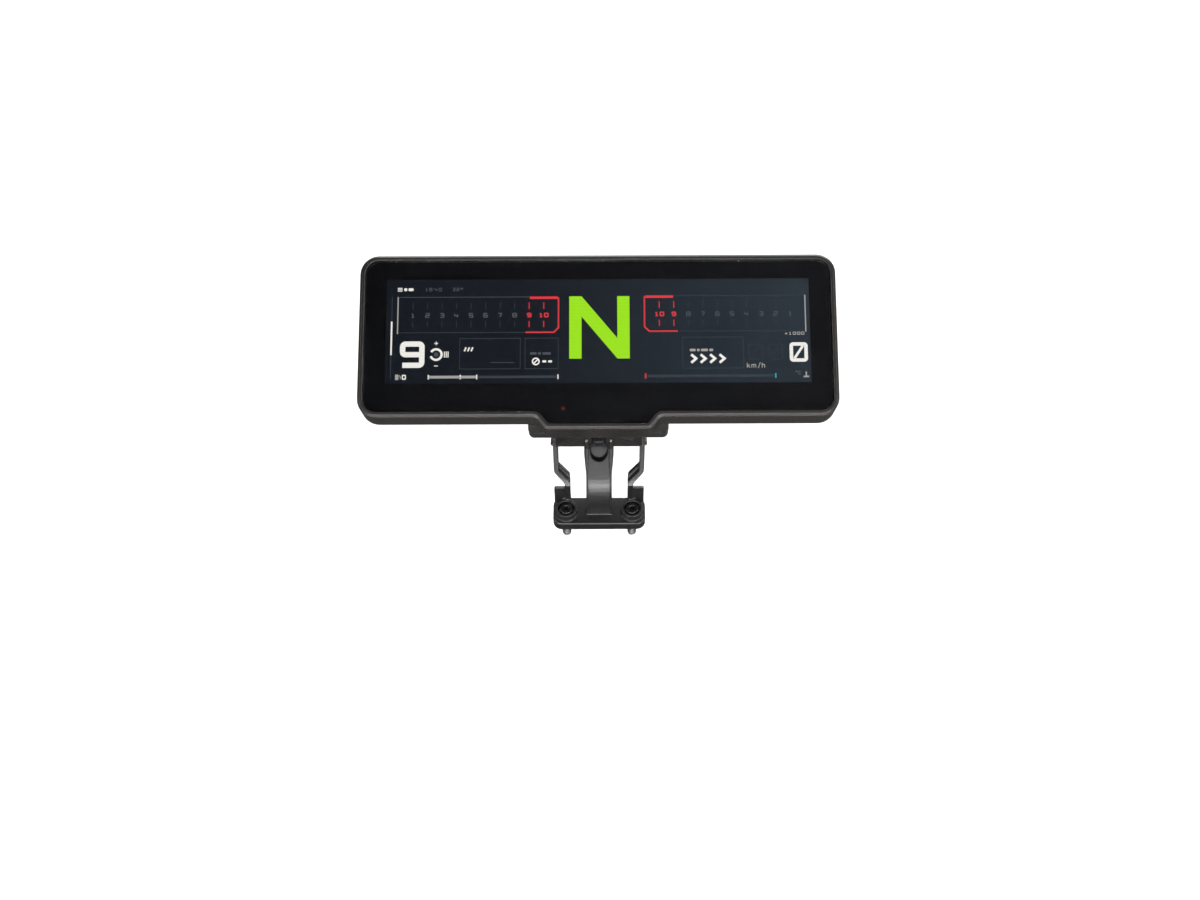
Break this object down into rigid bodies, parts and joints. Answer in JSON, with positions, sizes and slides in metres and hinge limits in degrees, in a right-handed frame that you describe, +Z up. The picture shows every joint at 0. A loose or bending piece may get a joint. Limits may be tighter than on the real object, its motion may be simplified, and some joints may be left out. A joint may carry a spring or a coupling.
{
  "type": "instrument cluster",
  "caption": "Wide touch-screen motorcycle instrument cluster in a thin housing, on a handlebar bracket with a friction-clamped tilt hinge.",
  "frame": {"origin": "centre of the bracket's base face, between its two screws", "axes": "+X to the rider's right along the display's width, +Y forward, +Z up on the upright motorcycle; the base face is square to the steering axis, raked 24.7 degrees"},
  "size_m": [0.2484, 0.0736, 0.1732],
  "materials": {
    "bezel_paint": "fine satin black paint on a cast frame, edges slightly lighter",
    "cast_black": "fine-textured black coating on cast metal",
    "cover_glass": "clear chemically strengthened glass, high gloss",
    "black_ink": "black ink layer behind the glass",
    "polariser": "dark neutral film",
    "clear_plastic": "clear moulded acrylic",
    "white_film": "matt white film",
    "sheet_steel": "rolled sheet, satin",
    "diecast": "as-cast light alloy",
    "circuit_board": "green solder mask",
    "copper_film": "amber polyimide film with copper tracks",
    "chip": "black moulded package",
    "thermal_pad": "soft grey-blue silicone pad",
    "ferrite": "dark grey sintered ferrite",
    "capacitor_can": "drawn aluminium can",
    "led_white": "white flexible strip with phosphor packages",
    "sensor_window": "dark red tinted plastic",
    "rubber": "matt black rubber",
    "black_plastic": "black glass-filled moulding",
    "contact_pin": "tin-gold plated contacts in a moulded base",
    "vent_membrane": "off-white woven membrane",
    "black_steel": "blackened screw steel",
    "zinc_steel": "bright zinc-plated steel",
    "bronze": "sintered bronze"
  },
  "bodies": {
    "bracket": {"mounting_bracket": "cast_black", "clamp_screw": "black_steel", "friction_washer_left": "bronze", "friction_washer_right": "bronze", "base_washer_left": "zinc_steel", "base_washer_right": "zinc_steel", "base_screw_left": "black_steel", "base_screw_right": "black_steel"},
    "display": {"front_bezel": "bezel_paint", "rear_housing": "cast_black", "tilt_carrier": "cast_black", "cover_glass": "cover_glass", "ink_border": "black_ink", "front_polariser": "polariser", "lcd_panel": "polariser", "light_guide": "clear_plastic", "diffuser_sheet": "white_film", "reflector_sheet": "white_film", "backlight_pan": "sheet_steel", "chassis_frame": "diecast", "main_board": "circuit_board", "sensor_board": "circuit_board", "display_ribbon": "copper_film", "processor": "chip", "memory_chip": "chip", "thermal_pad": "thermal_pad", "power_inductor": "ferrite", "capacitor_1": "capacitor_can", "capacitor_2": "capacitor_can", "led_strip": "led_white", "light_sensor": "sensor_window", "glass_gasket": "rubber", "housing_gasket": "rubber", "connector_seal": "rubber", "carrier_bushing_1": "rubber", "carrier_bushing_2": "rubber", "carrier_bushing_3": "rubber", "carrier_bushing_4": "rubber", "connector_socket": "black_plastic", "pin_header": "contact_pin", "pressure_vent": "vent_membrane", "pivot_bolt": "black_steel", "pivot_nut": "black_steel", "housing_screw_1": "black_steel", "housing_screw_2": "black_steel", "housing_screw_3": "black_steel", "housing_screw_4": "black_steel", "housing_screw_5": "black_steel", "housing_screw_6": "black_steel", "housing_screw_7": "black_steel", "housing_screw_8": "black_steel", "carrier_screw_1": "black_steel", "carrier_screw_2": "black_steel", "carrier_screw_3": "black_steel", "carrier_screw_4": "black_steel", "board_screw_1": "zinc_steel", "board_screw_2": "zinc_steel", "board_screw_3": "zinc_steel", "board_screw_4": "zinc_steel"}
  },
  "joints": [
    {"name": "display_tilt", "type": "hinge", "parent": "bracket", "child": "display", "pos_m": [0, -0.01843, 0.07287], "axis": [1, 0, 0], "range_deg": [-10, 10]}
  ]
}
